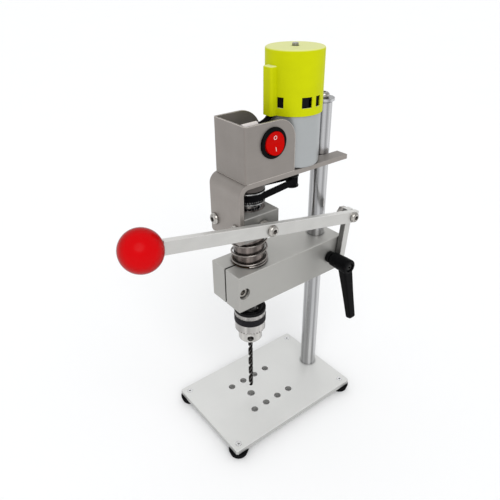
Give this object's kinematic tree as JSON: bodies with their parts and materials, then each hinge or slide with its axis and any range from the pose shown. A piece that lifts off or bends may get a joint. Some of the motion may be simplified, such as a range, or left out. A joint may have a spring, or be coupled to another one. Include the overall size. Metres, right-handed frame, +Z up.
{
  "type": "bench drill press",
  "caption": "Small bench drill press: belt-driven spindle and key chuck in a sprung quill, lever feed with a red ball knob, clamped arm on a round column and a drilled base plate.",
  "frame": {"origin": "centre of the base plate's top face", "axes": "+Z up along the column; -Y towards the operator at the front, +Y towards the column; +X towards the hand lever, switch and clamp handle"},
  "size_m": [0.1092, 0.2338, 0.3514],
  "materials": {
    "plate_aluminium": "satin bead-blasted, clear anodised",
    "foot_rubber": "matt black",
    "screw_steel": "bright stainless",
    "column_steel": "ground and polished",
    "arm_aluminium": "milled, satin",
    "bushing_bronze": "turned",
    "black_steel": "black oxide",
    "spring_steel": "drawn wire",
    "handle_black": "matt black",
    "bar_aluminium": "brushed lengthways",
    "quill_steel": "ground",
    "sheet_steel": "brushed sheet",
    "collar_aluminium": "turned",
    "bearing_steel": "ground",
    "pulley_aluminium": "turned",
    "belt_rubber": "matt black",
    "can_steel": "zinc plated",
    "magnet_ferrite": "sintered",
    "core_steel": "laminated, varnished",
    "cap_black": "moulded",
    "terminal_brass": "tinned",
    "cover_green": "moulded yellow-green",
    "switch_black": "moulded",
    "rocker_red": "moulded",
    "mark_white": "printed",
    "lead_black": "insulation",
    "sleeve_pale": "soft sleeve",
    "knob_red": "polished",
    "chuck_steel": "ground and polished",
    "chuck_black": "moulded",
    "grip_rubber": "matt black",
    "drill_steel": "black oxide"
  },
  "bodies": {
    "base": {"base_plate": "plate_aluminium", "rubber_feet": "foot_rubber", "foot_screws": "screw_steel", "column": "column_steel", "column_base_screw": "screw_steel", "column_disc": "column_steel", "column_spring_washer": "screw_steel", "column_top_screw": "screw_steel"},
    "arm": {"arm_block": "arm_aluminium", "quill_bushing": "bushing_bronze", "quill_clamp_screw": "black_steel", "return_spring": "spring_steel", "link_pivot_screw": "screw_steel"},
    "clamp_handle": {"clamp_handle": "handle_black", "clamp_stud": "screw_steel", "clamp_handle_screw": "black_steel"},
    "link": {"link_bar": "bar_aluminium"},
    "carriage": {"quill_tube": "quill_steel", "quill_block": "arm_aluminium", "motor_bracket": "sheet_steel", "bracket_screws": "screw_steel", "bearing_collar": "collar_aluminium", "bearing_outer_rings": "bearing_steel", "bearing_balls": "bearing_steel", "motor_can": "can_steel", "motor_magnets": "magnet_ferrite", "motor_end_cap": "cap_black", "lead_terminals": "terminal_brass", "motor_screws": "screw_steel", "motor_cover": "cover_green", "switch_housing": "sheet_steel", "housing_screws": "screw_steel", "switch_body": "switch_black", "motor_leads": "lead_black", "lead_sleeve": "sleeve_pale", "drive_belt": "belt_rubber", "lever_spacer": "bar_aluminium", "lever_pivot_screw": "screw_steel"},
    "lever": {"lever_bar": "bar_aluminium", "ball_knob": "knob_red", "link_bolt": "screw_steel", "link_nut": "screw_steel"},
    "switch_rocker": {"switch_rocker": "rocker_red", "rocker_marks": "mark_white"},
    "spindle": {"spindle": "quill_steel", "bearing_inner_rings": "bearing_steel", "spindle_nut": "quill_steel", "spindle_pulley": "pulley_aluminium", "spindle_pulley_screw": "black_steel", "chuck_body": "chuck_steel", "chuck_top_ring": "chuck_black", "drill_bit": "drill_steel"},
    "chuck_sleeve": {"chuck_sleeve": "chuck_steel", "chuck_grip_ring": "grip_rubber"},
    "chuck_jaw_1": {"chuck_jaw_1": "chuck_steel"},
    "chuck_jaw_2": {"chuck_jaw_2": "chuck_steel"},
    "chuck_jaw_3": {"chuck_jaw_3": "chuck_steel"},
    "motor_rotor": {"motor_shaft": "quill_steel", "armature": "core_steel", "motor_pulley": "pulley_aluminium"}
  },
  "joints": [
    {"name": "arm_height", "type": "slide", "parent": "base", "child": "arm", "axis": [0, 0, 1], "range_m": [0, 0.04]},
    {"name": "clamp_turn", "type": "hinge", "parent": "arm", "child": "clamp_handle", "pos_m": [0.03, 0.0615, 0.146], "axis": [1, 0, 0], "range_deg": [-90, 90]},
    {"name": "link_swing", "type": "hinge", "parent": "arm", "child": "link", "pos_m": [0.0237, 0.0723, 0.14], "axis": [1, 0, 0], "range_deg": [-2.7, 0.1]},
    {"name": "quill_feed", "type": "slide", "parent": "arm", "child": "carriage", "axis": [0, 0, -1], "range_m": [0, 0.02], "stiffness_N_per_m": 1000, "springref_m": -0.035, "deforming": ["return_spring"]},
    {"name": "lever_swing", "type": "hinge", "parent": "carriage", "child": "lever", "pos_m": [0.0295, -0.02, 0.206], "axis": [1, 0, 0], "range_deg": [-0.1, 11.8]},
    {"name": "rocker_tilt", "type": "hinge", "parent": "carriage", "child": "switch_rocker", "pos_m": [0.0211, -0.0106, 0.2736], "axis": [0, 1, 0], "range_deg": [0, 14]},
    {"name": "spindle_spin", "type": "hinge", "parent": "carriage", "child": "spindle", "pos_m": [0, -0.0195, 0.12], "axis": [0, 0, 1], "continuous": true},
    {"name": "motor_spin", "type": "hinge", "parent": "carriage", "child": "motor_rotor", "pos_m": [0, 0.0279, 0.26], "axis": [0, 0, 1], "continuous": true},
    {"name": "sleeve_turn", "type": "hinge", "parent": "spindle", "child": "chuck_sleeve", "pos_m": [0, -0.0195, 0.1], "axis": [0, 0, 1], "range_deg": [0, 800]},
    {"name": "jaw_slide_1", "type": "slide", "parent": "spindle", "child": "chuck_jaw_1", "axis": [0.1429, 0.0636, 0.9877], "range_m": [0, 0.0058]},
    {"name": "jaw_slide_2", "type": "slide", "parent": "spindle", "child": "chuck_jaw_2", "axis": [-0.1266, 0.092, 0.9877], "range_m": [0, 0.0058]},
    {"name": "jaw_slide_3", "type": "slide", "parent": "spindle", "child": "chuck_jaw_3", "axis": [-0.0164, -0.1556, 0.9877], "range_m": [0, 0.0058]}
  ],
  "couplings": [
    {"joint": "link_swing", "follows": "quill_feed", "rad_per_m": -2.225},
    {"joint": "lever_swing", "follows": "quill_feed", "rad_per_m": 9.925},
    {"joint": "motor_spin", "follows": "spindle_spin", "ratio": 2.5},
    {"joint": "jaw_slide_1", "follows": "sleeve_turn", "m_per_rad": 0.00040823},
    {"joint": "jaw_slide_2", "follows": "sleeve_turn", "m_per_rad": 0.00040823},
    {"joint": "jaw_slide_3", "follows": "sleeve_turn", "m_per_rad": 0.00040823}
  ]
}
